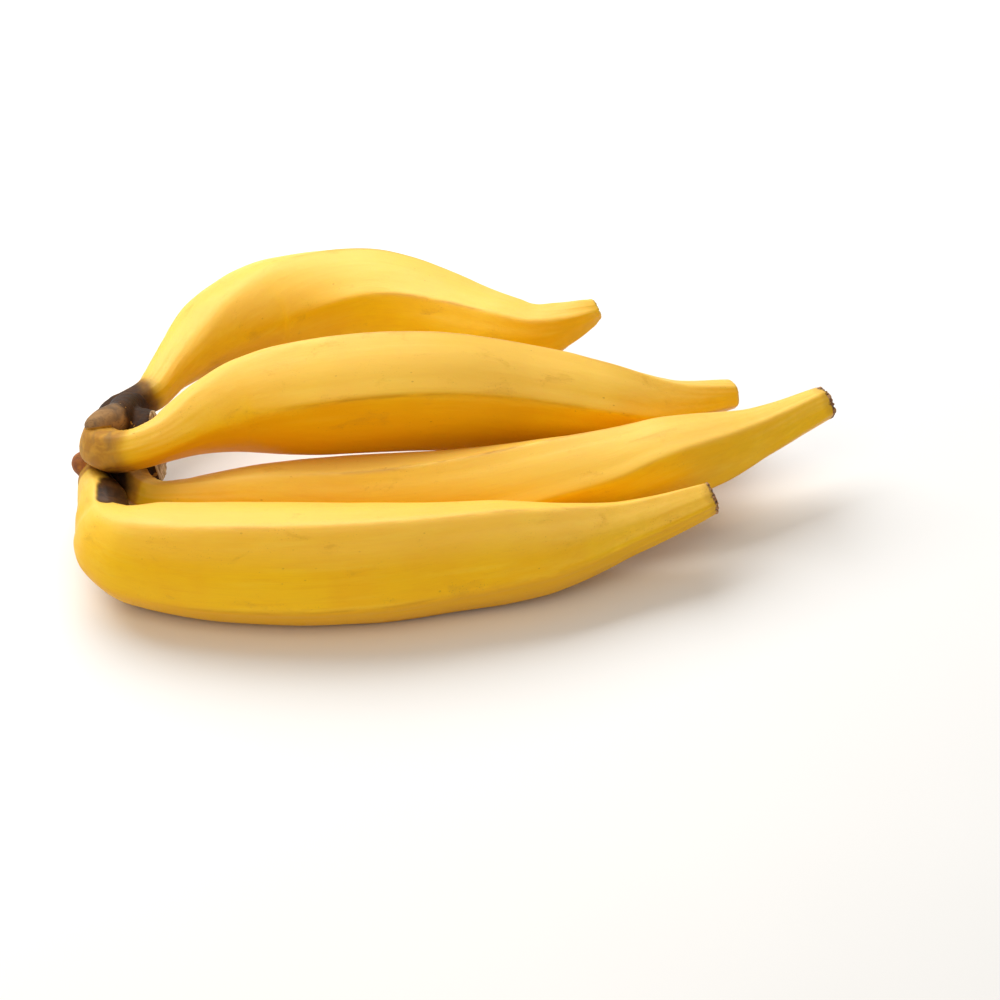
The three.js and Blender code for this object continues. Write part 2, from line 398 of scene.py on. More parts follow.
def peel(fruit, seed, stem_tree):
    """A fruit's peel, with its wrinkles and the values that its colours follow, and
    its rings of points. stem_tree is the finished stem, which stains it."""
    skin, straight, from_ridge, girth, length = peel_parts(fruit)
    along = straight[..., 0]
    to_tip = length - along
    fullness = smoothstep(STALK_GIRTH, FULL_GIRTH, girth)[:, None]
    stalk = 1.0 - fullness
    is_stalk = stalk * (along < length / 2)
    is_neck = stalk * (along > length / 2)
    angle = side_angles()
    tight, side = bending(skin)

    skin = rounded(fruit, skin, along / length)
    # Raised ridges with a shallow hollow beside each.
    wander = value_noise(straight * [0.45, 1, 1], 22 * MM, seed)
    until = SOFTENED[fruit][1]
    sharp = smoothstep(until - 0.10, until + 0.12, along / length)
    strength = (0.75 + 0.35 * wander) * (0.45 + 0.55 * fullness) * (0.2 + 0.8 * sharp)
    strength *= smoothstep(1 * MM, 7 * MM, to_tip)
    crest = bell(from_ridge, RIDGE_WIDTH) * strength
    hollow = bell(from_ridge - HOLLOW_PLACE, HOLLOW_WIDTH) * strength
    relief = RIDGE_HEIGHT * crest - HOLLOW_DEPTH * hollow
    # Long furrows on the stalk and towards the tip.
    furrows = np.zeros_like(along)
    for count, share in ((9, 0.5), (16, 0.3), (27, 0.2)):
        drift = 0.7 * value_noise(straight * [1, 0, 0], 15 * MM, seed + count)
        furrows += share * np.cos(count * (angle[None, :] + drift / count * 3.0))
    relief += (STALK_FURROW * is_stalk + NECK_FURROW * is_neck) * MM * furrows
    # Creases across the inside of the stalk's bend.
    pucker = np.clip(tight * 0.016, 0.0, 1.0)[:, None] * np.clip(side, 0.0, 1.0)
    wave = np.sin(along / CREASE_SPACING + 2.2 * value_noise(straight, 5 * MM, seed + 1))
    relief += CREASE_DEPTH * pucker * wave * is_stalk
    for draw, (depth, spacing, drawn) in enumerate(DENTS, start=2):
        relief += depth * value_noise(straight * [drawn, 1, 1], spacing, seed + draw)
    relief = np.where(relief > 0, RELIEF_LIMIT * np.tanh(relief / RELIEF_LIMIT), relief)

    relief -= SUNK * darkness(skin, SHADED_HOLLOWS)
    skin = skin + relief[..., None] * grid_normals(skin)
    skin[..., 2] = np.maximum(skin[..., 2], 0.0)

    near = np.array([stem_tree.find_nearest(Vector(p))[3] for p in skin.reshape(-1, 3)])
    near = near.reshape(along.shape)
    uneven = 3.0 * MM * value_noise(straight * [1, 0.6, 0.6], 6 * MM, seed + 6)
    end = STAIN_END[fruit] + uneven
    stain = 1.0 - smoothstep(end - 10 * MM, end, along)
    stain = np.maximum(stain, 1.0 - smoothstep(0.4 * MM, 4.5 * MM, near + 0.4 * uneven))
    made = closed_grid(
        "peel_" + fruit,
        skin,
        {
            "straight": straight / MM,
            "crest": crest,
            "stem": is_stalk,
            "neck": is_neck,
            "stain": stain,
            # dark brown: the stem's own skin and painted shade in the crotches, and painted shade
            # in the front fruit's hollows
            "dark": darkness(skin, STEM_DARK_AND_SHADE + SHADED_HOLLOWS if fruit == "front" else STEM_DARK_AND_SHADE),
            "from_root": along / MM,
            "to_tip": to_tip / MM,
            "age": np.full_like(along, SCARS[fruit][2]),
            # which way each point faces, for the peel's painted light and painted shade
            "painted_light_facing": grid_normals(skin)[..., 2],
        },
    )
    return made, skin


# ---------------------------------------------------------------- tips

# The scar of each fruit: its reach in sizes of the peel's end, its height in the
# same way, and how far it has darkened from tan to black-brown.
SCARS = {
    "front": (1.03, 0.60, 0.64),
    "middle": (1.03, 0.70, 0.68),
    "top": (0.98, 0.55, 0.45),
    "back": (0.98, 0.35, 0.15),
}


def tip_scar(fruit, skin, seed):
    """The dry brown scar of the flower on the end of a fruit: a crust with a torn
    rim on the peel's edge, or sunk inside it, and furrowed towards its middle."""
    spread, rise, age = SCARS[fruit]
    edge = skin[-1]
    centre = edge.mean(0)
    ahead = unit(centre - skin[-2 * NOSE_RINGS].mean(0))
    size = np.linalg.norm(edge - centre, axis=1).mean()
    angle = side_angles()
    ring = np.stack([np.cos(angle), np.sin(angle), np.zeros_like(angle)], -1)
    # Each step: share of the edge's size, how far beyond the edge, and how rough.
    profile = [
        (0.80, -0.10, 0.0),
        (0.97, -0.30, 0.3),
        (1.05, -0.26, 1.0),
        (1.08, -0.08, 0.8),
        (1.06, 0.08, 0.8),
        (0.98, 0.17, 1.0),
        (0.86, 0.14, 0.9),
        (0.70, 0.05, 0.8),
        (0.52, 0.00, 0.8),
        (0.36, 0.06, 0.9),
        (0.22, 0.20, 0.8),
        (0.10, 0.26, 0.4),
    ]
    shares, lifts, roughs = np.array(profile).T
    knots = np.linspace(0.0, 1.0, len(profile))
    fine = np.linspace(0.0, 1.0, 44)
    share, lift, rough = (curve_through(knots, v, fine) for v in (shares, lifts, roughs))
    torn = value_noise(ring * 2.4 + 7.0, 1.0, seed)
    frayed = value_noise(ring * 8.0 + 3.0, 1.0, seed + 1)
    pleats = np.cos(11 * angle + 3.0 * torn) * 0.5 + np.cos(23 * angle + 4.0 * torn) * 0.5
    place = np.stack(
        [
            share[:, None] * ring[None, :, 0] * 3.0,
            share[:, None] * ring[None, :, 1] * 3.0,
            np.repeat(fine[:, None] * 4.0, PEEL_SIDES, axis=1),
        ],
        -1,
    )
    grain = value_noise(place * 1.6 + 5.0, 1.0, seed + 2)
    radial = spread * share[:, None] * (1.0 + 0.035 * rough[:, None] * (pleats + frayed + grain))
    beyond = lift[:, None] + 0.10 * rough[:, None] * (0.8 * torn + 0.5 * frayed + 0.8 * grain)
    beyond = rise * (beyond + 0.05 * rough[:, None] * pleats)
    grid = centre + radial[..., None] * (edge - centre)[None] + (beyond * size)[..., None] * ahead
    return closed_grid(
        "tip_" + fruit,
        grid,
        {
            "straight": place,
            "rim": np.repeat(bell(fine - 0.42, 0.16)[:, None], PEEL_SIDES, axis=1),
            "fold": grain * 0.4 + pleats * 0.5,
            "age": np.full_like(grain, age),
        },
    )


# ---------------------------------------------------------------- crown

# The middle of the stub lies this many radii behind its cut face.
STUB_MIDDLE = 0.85
# How far along its stalk each fruit keeps a skin of stem, from its root, and how
# thick that skin is.
SLEEVE_END = {"front": 13 * MM, "middle": 14 * MM, "top": 11 * MM, "back": 22 * MM}
SLEEVE = {"front": 0.6 * MM, "middle": 0.6 * MM, "top": 0.6 * MM, "back": 0.35 * MM}

# Chains of (x, y, z, radius) from the middle of the stub, all in radii of the cut
# face: the tongue of dead stem from the back fruit's stalk over the top fruit's
# root, the red-brown knuckle behind the front fruit's stalk, and what fills the
# crotches between the stalks.
TONGUE = [
    (-0.97, -0.89, 1.30, 0.18),
    (-0.82, -0.88, 1.34, 0.28),
    (-0.57, -0.64, 1.28, 0.40),
    (-0.25, -0.18, 1.07, 0.47),
    (-0.21, 0.80, 0.70, 0.45),
    (0.02, 1.58, 0.24, 0.40),
    (0.18, 2.05, 0.10, 0.33),
]
KNUCKLE = [(-1.28, -0.72, -0.15, 0.36), (-1.05, -0.6, -0.25, 0.42), (-0.6, -0.3, -0.3, 0.5)]
SPUR = [(-1.22, -0.86, -0.52, 0.22), (-1.05, -0.7, -0.45, 0.30), (-0.7, -0.4, -0.4, 0.4)]
FILLINGS = [
    [(-0.65, -0.10, 0.75, 0.50), (-0.55, 0.25, 0.30, 0.62), (0.0, 0.35, 0.45, 0.62)],
    [(-0.1, -0.55, -0.35, 0.60), (0.25, -0.65, -0.45, 0.50)],
]
# Where dark brown is painted, as chains, and how softly each one fades: on the stem
# and the stalks beside it, partly the stem's own dark skin and partly painted shade
# in the crotches, and on the patches pressed into the front fruit's shoulder.
STEM_DARK_AND_SHADE = [
    ([(-0.45, 0.5, 0.6, 0.5), (-0.58, 1.42, 0.10, 0.46), (-0.22, 1.76, 0.15, 0.42)], 0.75),
    ([(-0.36, -0.92, -0.10, 0.30), (-0.34, -1.49, -0.15, 0.22), (-0.22, -2.0, 0.05, 0.20)], 0.40),
]
# The front fruit's pressed patches: painted shade in the hollows, which are also sunk.
SHADED_HOLLOWS = [
    ([(-0.28, -2.32, 0.38, 0.26), (-0.08, -2.86, 0.45, 0.34), (0.07, -3.19, 0.41, 0.36)], 0.20),
    ([(0.16, -2.35, 0.12, 0.30), (0.22, -2.75, 0.20, 0.30), (0.24, -3.10, 0.24, 0.26)], 0.20),
    ([(-0.34, -2.75, 0.55, 0.18), (-0.37, -3.20, 0.63, 0.17), (-0.30, -3.48, 0.64, 0.14)], 0.16),
]
SUNK = 0.5 * MM  # how deep the patches are pressed
# What has dried to tan, and what has turned red-brown.
DRY = TONGUE[:3]
RED = KNUCKLE[:2] + SPUR[:1]
CUT_SLANT = 0.16  # how far the top of the cut leans back, for each unit of height
# The stub's outline from its face: how far along its axis, and how wide, in radii.
STUB_OUTLINE = (
    (0.0, 1.0),
    (-0.25, 1.05),
    (-0.6, 1.09),
    (-1.0, 1.06),
    (-1.4, 0.92),
    (-1.7, 0.6),
)


def cut_face():
    """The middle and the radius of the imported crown's cut face."""
    bm = welded("crown")
    points = np.array([v.co for v in bm.verts])
    bm.free()
    face = points[points[:, 0] > points[:, 0].max() - 0.1 * MM]
    low, high = face.min(0), face.max(0)
    return (low + high) / 2, (high - low)[1] / 2


def stub_middle():
    """The middle of the stub, the middle of its cut face and the face's radius."""
    face, radius = cut_face()
    return face - np.array([STUB_MIDDLE * radius, 0.0, 0.0]), face, radius


def along_chain(chain, count):
    """A number of points (x, y, z, radius) on a smooth curve through a chain."""
    stations = np.array(chain)
    knots = np.arange(len(stations), dtype=float)
    return curve_through(knots, stations, np.linspace(0.0, knots[-1], count))


def stub(middle, radius):
    """The piece of stem the hand was cut from: round, blunt at its far end."""
    knots = np.linspace(0.0, 1.0, len(STUB_OUTLINE))
    fine = np.linspace(0.0, 1.0, 40)
    along, wide = (curve_through(knots, np.array(v), fine) for v in zip(*STUB_OUTLINE))
    angle = np.linspace(0.0, 2.0 * math.pi, 96, endpoint=False)
    lumpy = 1.0 + 0.03 * np.cos(3 * angle + 0.6) + 0.02 * np.cos(5 * angle)
    grid = np.empty((len(fine), len(angle), 3))
    grid[..., 0] = middle[0] + along[:, None] * radius
    grid[..., 1] = middle[1] + wide[:, None] * radius * lumpy * np.cos(angle)
    grid[..., 2] = middle[2] + wide[:, None] * radius * lumpy * np.sin(angle)
    return closed_grid("stub", grid, {})


def beads(name, chain, middle, radius):
    """A smooth row of overlapping balls along a chain."""
    bm = bmesh.new()
    for x, y, z, size in along_chain(chain, 6 * len(chain)):
        place = Vector(middle) + Vector((x, y, z)) * radius
        matrix = Matrix.Translation(place)
        bmesh.ops.create_icosphere(bm, subdivisions=3, radius=size * radius, matrix=matrix)
    mesh = bpy.data.meshes.new(name)
    bm.to_mesh(mesh)
    bm.free()
    return shown(name, mesh)


def sleeve(fruit, seed):
    """The stem's skin round a stalk's root, that thins out on the peel."""
    skin, straight, _, _, _ = peel_parts(fruit)
    last = int(np.ceil((SLEEVE_END[fruit] + 5 * MM) / PEEL_STEP))
    skin, straight = skin[:last], straight[:last]
    end = SLEEVE_END[fruit] + 2.5 * MM * value_noise(straight, 5 * MM, seed)
    cover = 1.0 - smoothstep(end - 12 * MM, end, straight[..., 0])
    thickness = (SLEEVE[fruit] + 1.0 * MM) * cover - 1.0 * MM
    return closed_grid("sleeve_" + fruit, skin + thickness[..., None] * grid_normals(skin), {})


def crown(seed, skins):
    """The cut stem: stub, sleeves, tongue and knuckle grown into one body. skins
    holds the fruits' smooth skins, to tell where the stem thins out on them."""
    middle, face, radius = stub_middle()
    chains = [TONGUE, KNUCKLE, SPUR, *FILLINGS]
    parts = [stub(face, radius)]
    parts += [sleeve(f, seed + i) for i, f in enumerate(FRUITS)]
    parts += [beads(f"beads_{i}", chain, middle, radius) for i, chain in enumerate(chains)]
    made = join(parts, "crown_stem")
    remesh = made.modifiers.new("grown", "REMESH")
    remesh.mode = "VOXEL"
    remesh.voxel_size = CROWN_VOXEL
    smooth = made.modifiers.new("soft", "SMOOTH")
    smooth.factor = 0.5
    smooth.iterations = 9
    apply_modifiers(made)
    keep_biggest(made.data)
    weather_crown(made.data, middle, face, radius, seed + 50)
    points = points_of(made.data)
    cover = np.full(len(points), np.inf)
    for skin in skins:
        for index, point in enumerate(points):
            cover[index] = min(cover[index], height_over(skin, Vector(point)))
    # Only the sleeves thin out, not the stub.
    off_axis = np.linalg.norm((points - middle)[:, 1:], axis=1)
    cover += 5 * MM * (1.0 - smoothstep(1.45 * radius, 1.70 * radius, off_axis))
    tag(made.data, "cover", cover / MM)
    # Where the sleeves thin out near the crotches: dark stem skin and painted shade.
    tag(made.data, "dark", darkness(points, STEM_DARK_AND_SHADE))
    return made


def height_over(skin, point):
    """How far a point lies outside a skin, negative inside it."""
    found, normal, _, distance = skin.find_nearest(point)
    return distance if (point - found).dot(normal) > 0 else -distance


def smooth_skin(fruit):
    """A search tree of the root half of a fruit's smooth skin."""
    skin = peel_parts(fruit)[0]
    skin = skin[: len(skin) // 2]
    made = closed_grid("smooth_" + fruit, skin, {})
    tree = tree_of(made.data)
    bpy.data.objects.remove(made)
    return tree


def tree_of(mesh):
    bm = bmesh.new()
    bm.from_mesh(mesh)
    tree = BVHTree.FromBMesh(bm)
    bm.free()
    return tree


def join(parts, name):
    """One object holding the meshes of all the parts, which are removed."""
    bm = bmesh.new()
    for part in parts:
        bm.from_mesh(part.data)
    mesh = bpy.data.meshes.new(name)
    bm.to_mesh(mesh)
    bm.free()
    for part in parts:
        old = part.data
        bpy.data.objects.remove(part)
        bpy.data.meshes.remove(old)
    return shown(name, mesh)


def apply_modifiers(thing):
    """Bakes a thing's modifiers into its mesh."""
    found = bpy.context.evaluated_depsgraph_get()
    bpy.context.view_layer.update()
    mesh = bpy.data.meshes.new_from_object(thing.evaluated_get(found), depsgraph=found)
    thing.modifiers.clear()
    thing.data = mesh


def keep_biggest(mesh):
    """Leaves only the largest connected body of a mesh."""
    bm = bmesh.new()
    bm.from_mesh(mesh)
    left = set(bm.verts)
    groups = []
    while left:
        todo = [left.pop()]
        group = []
        while todo:
            vertex = todo.pop()
            group.append(vertex)
            for edge in vertex.link_edges:
                other = edge.other_vert(vertex)
                if other in left:
                    left.remove(other)
                    todo.append(other)
        groups.append(group)
    groups.sort(key=len)
    spare = [v for group in groups[:-1] for v in group]
    bmesh.ops.delete(bm, geom=spare, context="VERTS")
    bm.to_mesh(mesh)
    bm.free()
    mesh.shade_smooth()


def nearness(points, chain, middle, radius, fade=0.28):
    """1 on a chain's surface and within it, 0 beyond the fade, in radii."""
    gap = np.full(len(points), np.inf)
    for x, y, z, size in along_chain(chain, 24):
        place = middle + np.array([x, y, z]) * radius
        gap = np.minimum(gap, np.linalg.norm(points - place, axis=1) - size * radius)
    return 1.0 - smoothstep(0.05 * radius, fade * radius, gap)


def darkness(points, patches):
    """How strongly the patches cover each point, from 0 to 1: for their dark stem skin and
    painted shade, and for the depth of the pressed hollows.
    """
    middle, _, radius = stub_middle()
    flat = points.reshape(-1, 3)
    flat = flat + 0.7 * MM * value_noise(flat, 3.5 * MM, 31)[:, None]
    found = [nearness(flat, chain, middle, radius, fade) for chain, fade in patches]
    return np.max(found, axis=0).reshape(points.shape[:-1])


def weather_crown(mesh, middle, face, radius, seed):
    """Roughens the crown's skin, slants its cut and opens the cut's fibres."""
    points, normals = points_of(mesh), normals_of(mesh)
    tongue = nearness(points, DRY, middle, radius)
    knuckle = nearness(points, RED, middle, radius)
    cut = smoothstep(face[0] - 1.6 * MM, face[0] - 0.6 * MM, points[:, 0])
    cut *= smoothstep(0.35, 0.8, normals[:, 0])
    bark = 0.24 * value_noise(points * [1.0, 0.5, 0.5], 3.2 * MM, seed)
    bark += 0.12 * value_noise(points * [0.5, 1, 1], 1.3 * MM, seed + 1)
    bark += 0.30 * value_noise(points, 7 * MM, seed + 2)
    fibres = value_noise(points * [1, 1, 0.10], 0.75 * MM, seed + 3)
    fibres += 0.8 * value_noise(points * [1, 1, 0.25], 1.9 * MM, seed + 4)
    calm = 1.0 - 0.55 * tongue
    points += (bark * calm * (1.0 - cut) * MM)[:, None] * normals
    points[:, 0] += cut * fibres * 0.45 * MM
    # The knife went through at a slant: the top of the cut is further back.
    near_cut = smoothstep(face[0] - 14 * MM, face[0], points[:, 0])
    points[:, 0] -= near_cut * (points[:, 2] - face[2] + 6 * MM) * CUT_SLANT
    points[:, 2] = np.maximum(points[:, 2], 0.0)
    mesh.vertices.foreach_set("co", points.astype(np.float32).ravel())
    mesh.update()
    tag(mesh, "cut", cut)
    tag(mesh, "bark", bark)
    tag(mesh, "fibre", fibres)
    tag(mesh, "tongue", tongue)
    tag(mesh, "knuckle", knuckle)


# ---------------------------------------------------------------- materials


def srgb(red, green, blue):
    """A colour given as it looks on a screen, 0 to 255, for a shader."""
    linear = []
    for value in (red, green, blue):
        share = value / 255
        linear.append(share / 12.92 if share <= 0.04045 else ((share + 0.055) / 1.055) ** 2.4)
    return (*linear, 1.0)


class Shader:
    """A material and short ways to add nodes to it."""

    def __init__(self, name):
        self.material = bpy.data.materials.new(name)
        self.material.use_nodes = True
        self.tree = self.material.node_tree
        self.surface = self.tree.nodes["Principled BSDF"]

    def node(self, kind, **settings):
        made = self.tree.nodes.new(kind)
        for key, value in settings.items():
            setattr(made, key, value)
        return made

    def feed(self, socket, value):
        """Links an output to a socket, or sets the socket to a number or colour."""
        if isinstance(value, bpy.types.NodeSocket):
            self.tree.links.new(value, socket)
        else:
            socket.default_value = value

    def set(self, **values):
        """Sets or links the surface's own sockets."""
        for key, value in values.items():
            self.feed(self.surface.inputs[key.replace("_", " ")], value)

    def attribute(self, name, vector=False):
        found = self.node("ShaderNodeAttribute", attribute_name=name)
        return found.outputs["Vector" if vector else "Fac"]

    def scaled(self, vector, x, y, z):
        made = self.node("ShaderNodeVectorMath", operation="MULTIPLY")
        self.feed(made.inputs[0], vector)
        made.inputs[1].default_value = (x, y, z)
        return made.outputs["Vector"]

    def noise(self, vector, scale=1.0, detail=3.0, roughness=0.55, distortion=0.0):
        made = self.node("ShaderNodeTexNoise")
        self.feed(made.inputs["Vector"], vector)
        made.inputs["Scale"].default_value = scale
        made.inputs["Detail"].default_value = detail
        made.inputs["Roughness"].default_value = roughness
        made.inputs["Distortion"].default_value = distortion
        return made.outputs["Fac"]

    def cells(self, vector, scale):
        made = self.node("ShaderNodeTexVoronoi")
        self.feed(made.inputs["Vector"], vector)
        made.inputs["Scale"].default_value = scale
        return made.outputs["Distance"], made.outputs["Color"]

    def rise(self, value, low, high, start=0.0, end=1.0):
        """start below low, end above high, smooth between."""
        made = self.node("ShaderNodeMapRange", interpolation_type="SMOOTHSTEP")
        self.feed(made.inputs["Value"], value)
        made.inputs["From Min"].default_value = low
        made.inputs["From Max"].default_value = high
        made.inputs["To Min"].default_value = start
        made.inputs["To Max"].default_value = end
        return made.outputs["Result"]

    def math(self, operation, one, two=0.0):
        made = self.node("ShaderNodeMath", operation=operation)
        self.feed(made.inputs[0], one)
        self.feed(made.inputs[1], two)
        return made.outputs["Value"]

    def times(self, *values):
        total = values[0]
        for value in values[1:]:
            total = self.math("MULTIPLY", total, value)
        return total

    def mix(self, share, one, two):
        made = self.node("ShaderNodeMix", data_type="RGBA")
        self.feed(made.inputs[0], share)
        self.feed(made.inputs[6], one)
        self.feed(made.inputs[7], two)
        return made.outputs[2]

    def bump(self, height, strength, distance):
        made = self.node("ShaderNodeBump")
        made.inputs["Strength"].default_value = strength
        made.inputs["Distance"].default_value = distance
        self.feed(made.inputs["Height"], height)
        return made.outputs["Normal"]


def object_place(s):
    """The place on the object in millimetres, the same for all its pieces."""
    return s.scaled(s.node("ShaderNodeTexCoord").outputs["Object"], 1 / MM, 1 / MM, 1 / MM)


def crown_skin(s):
    """Golden tan with grey-brown blotches, where peel and stem meet."""
    place = object_place(s)
    patches = s.noise(place, 0.20, 3.0, 0.55, 0.4)
    colour = s.mix(s.rise(patches, 0.36, 0.62), srgb(168, 116, 32), srgb(188, 136, 40))
    blotch = s.noise(s.scaled(place, 1.0, 0.4, 0.5), 0.26, 3.0, 0.55, 0.3)
    return s.mix(s.rise(blotch, 0.42, 0.78, 0.0, 0.5), colour, srgb(116, 92, 56))


def dark_skin_and_shade(s):
    """Dark brown skin with tan scuffs, the same on the peels and the stem: the stem's own colour,
    also used as painted shade in the crotches and hollows of the peels.
    """
    place = object_place(s)
    patches = s.noise(place, 0.16, 4.0, 0.6, 0.6)
    colour = s.mix(s.rise(patches, 0.40, 0.62), srgb(44, 24, 6), srgb(76, 46, 14))
    scuff = s.noise(s.scaled(place, 0.6, 1.0, 1.4), 0.55, 5.0, 0.7, 0.8)
    return s.mix(s.rise(scuff, 0.60, 0.76, 0.0, 0.22), colour, srgb(124, 96, 60))


def peel_material():
    """Ripe yellow peel: streaks and fibres along the fruit, small brown specks,
    faint brown ridges, olive and tan stalks, and painted light and shade."""
    s = Shader("peel")
    place = s.attribute("straight", vector=True)
    crest, stem, neck = (s.attribute(n) for n in ("crest", "stem", "neck"))
    stain, to_tip = s.attribute("stain"), s.attribute("to_tip")

    broad = s.noise(place, 0.035, 3.0, 0.5, 0.4)
    colour = s.mix(s.rise(broad, 0.35, 0.68), srgb(248, 196, 4), srgb(244, 186, 2))
    streaks = s.noise(s.scaled(place, 0.05, 1.0, 1.0), 0.55, 4.0, 0.6, 0.3)
    colour = s.mix(s.rise(streaks, 0.48, 0.78, 0.0, 0.30), colour, srgb(232, 164, 6))
    pale = s.noise(s.scaled(place, 0.06, 1.0, 1.0), 0.33, 3.0, 0.5, 0.2)
    colour = s.mix(s.rise(pale, 0.5, 0.75, 0.0, 0.30), colour, srgb(252, 212, 62))
    fibres = s.noise(s.scaled(place, 0.06, 1.0, 1.0), 2.6, 3.0, 0.6, 0.2)
    colour = s.mix(s.rise(fibres, 0.35, 0.75, 0.0, 0.12), colour, srgb(214, 146, 12))

    # Painted light: the side that faces up is painted paler, a painted highlight as if lit from
    # above, and the underside deeper amber, as painted shade.
    painted_light_facing = s.attribute("painted_light_facing")
    colour = s.mix(s.rise(painted_light_facing, 0.40, 1.0, 0.0, 0.60), colour, srgb(250, 206, 110))
    colour = s.mix(s.rise(painted_light_facing, 0.30, -0.40, 0.0, 0.9), colour, srgb(232, 170, 2))

    smudge = s.noise(s.scaled(place, 0.45, 1.0, 1.0), 0.12, 5.0, 0.62, 0.6)
    colour = s.mix(s.rise(smudge, 0.58, 0.74, 0.0, 0.36), colour, srgb(206, 150, 34))
    worn = s.noise(s.scaled(place, 0.16, 1.0, 1.0), 0.30, 4.0, 0.6)
    line = s.times(crest, crest, s.rise(worn, 0.34, 0.62))
    colour = s.mix(s.math("MULTIPLY", line, 0.75), colour, srgb(170, 106, 22))

    # A little olive on the stalk, then the crown's tan and brown skin.
    patchy = s.noise(s.scaled(place, 0.5, 1.0, 1.0), 0.35, 4.0, 0.6, 0.5)
    wobble = s.math("MULTIPLY", s.math("SUBTRACT", patchy, 0.5), 16.0)
    reach = s.math("ADD", s.attribute("from_root"), wobble)
    olive = s.times(stem, s.rise(reach, 42.0, 20.0, 0.0, 0.45))
    colour = s.mix(olive, colour, srgb(204, 170, 20))
    colour = s.mix(s.rise(stain, 0.0, 0.5, 0.0, 0.75), colour, srgb(204, 148, 26))
    colour = s.mix(s.rise(stain, 0.25, 0.9), colour, crown_skin(s))
    # Dark brown near the crown: the stem's own skin and painted shade in the crotches, and
    # painted shade in the front fruit's hollows.
    colour = s.mix(s.attribute("dark"), colour, dark_skin_and_shade(s))
    # Green-brown, then brown, on the last of the tip.
    ended = s.math("ADD", to_tip, s.math("MULTIPLY", wobble, 0.35))
    colour = s.mix(s.times(neck, s.rise(patchy, 0.3, 0.7, 0.0, 0.2)), colour, srgb(216, 170, 30))
    age = s.rise(s.attribute("age"), 0.1, 0.7)
    colour = s.mix(s.times(age, s.rise(ended, 5.0, 1.5, 0.0, 0.4)), colour, srgb(180, 130, 40))
    colour = s.mix(s.times(age, s.rise(ended, 1.4, 0.3, 0.0, 0.85)), colour, srgb(96, 58, 34))

    # Specks in clusters, each a little drawn out along the fruit.
    distance, random = s.cells(s.scaled(place, 0.62, 1.0, 1.0), 0.42)
    size = s.node("ShaderNodeSeparateColor")
    s.feed(size.inputs["Color"], random)
    width = s.rise(size.outputs["Red"], 0.55, 1.0, 0.0, 0.17)
    speck = s.rise(s.math("SUBTRACT", width, distance), 0.0, 0.07)
    cluster = s.rise(s.noise(place, 0.045, 3.0, 0.6), 0.46, 0.62)
    specks = s.times(speck, cluster)
    colour = s.mix(s.math("MULTIPLY", specks, 0.42), colour, srgb(150, 98, 30))
    distance, random = s.cells(s.scaled(place, 0.7, 1.0, 1.0), 1.25)
    dots = s.times(s.rise(distance, 0.20, 0.10), s.rise(smudge, 0.48, 0.66))
    colour = s.mix(s.math("MULTIPLY", dots, 0.45), colour, srgb(150, 98, 34))

    dull = s.rise(streaks, 0.3, 0.8, 0.42, 0.54)
    roughness = s.math("ADD", dull, s.math("MULTIPLY", specks, 0.2))
    roughness = s.math("ADD", roughness, s.rise(stain, 0.2, 1.0, 0.0, 0.18))
    height = s.math("ADD", s.math("MULTIPLY", fibres, 0.6), s.math("MULTIPLY", streaks, 0.8))
    height = s.math("SUBTRACT", height, s.math("MULTIPLY", specks, 0.5))
    pores = s.noise(place, 3.2, 2.0, 0.5)
    height = s.math("ADD", height, s.math("MULTIPLY", pores, 0.35))
    s.set(Base_Color=colour, Roughness=roughness, Normal=s.bump(height, 0.30, 0.25 * MM))
    s.set(Subsurface_Weight=0.18, Subsurface_Scale=0.004, Subsurface_Radius=(1.0, 0.5, 0.06))
    s.set(Specular_IOR_Level=0.24)
    return s.material


